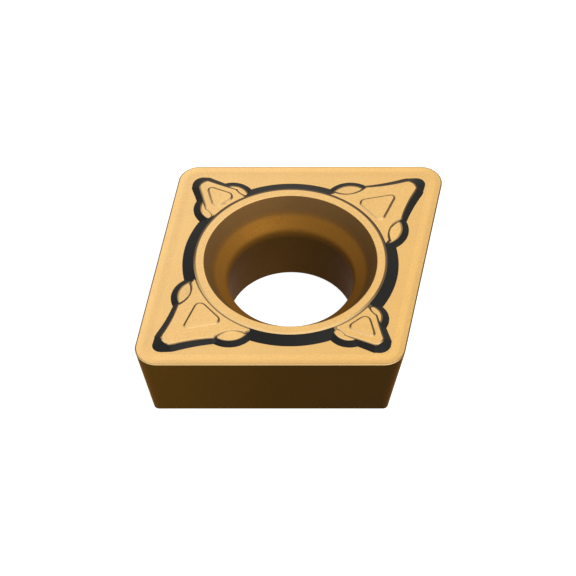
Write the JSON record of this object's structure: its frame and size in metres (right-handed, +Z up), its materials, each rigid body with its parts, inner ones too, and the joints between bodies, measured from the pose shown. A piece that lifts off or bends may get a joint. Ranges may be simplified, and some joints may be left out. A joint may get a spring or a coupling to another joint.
{
  "type": "carbide insert",
  "caption": "Rhombic cutting insert with drafted flanks, a countersunk screw hole in a raised collar, and chip breaker islands with raised marks at its corners.",
  "frame": {"origin": "centre of the seat face, on the screw hole's axis", "axes": "+Z up along the screw hole, from the seat face to the cutting edges; +X along the pair of straight cutting edges that lie square to Y; the acute corners point to +X+Y and -X-Y"},
  "size_m": [0.011, 0.0096, 0.0034],
  "materials": {
    "coated_carbide": "satin gold coating, charcoal on the chip breaker's walls, brown on the flanks and in the hole"
  },
  "bodies": {
    "root": {"carbide_insert": "coated_carbide"}
  },
  "joints": []
}
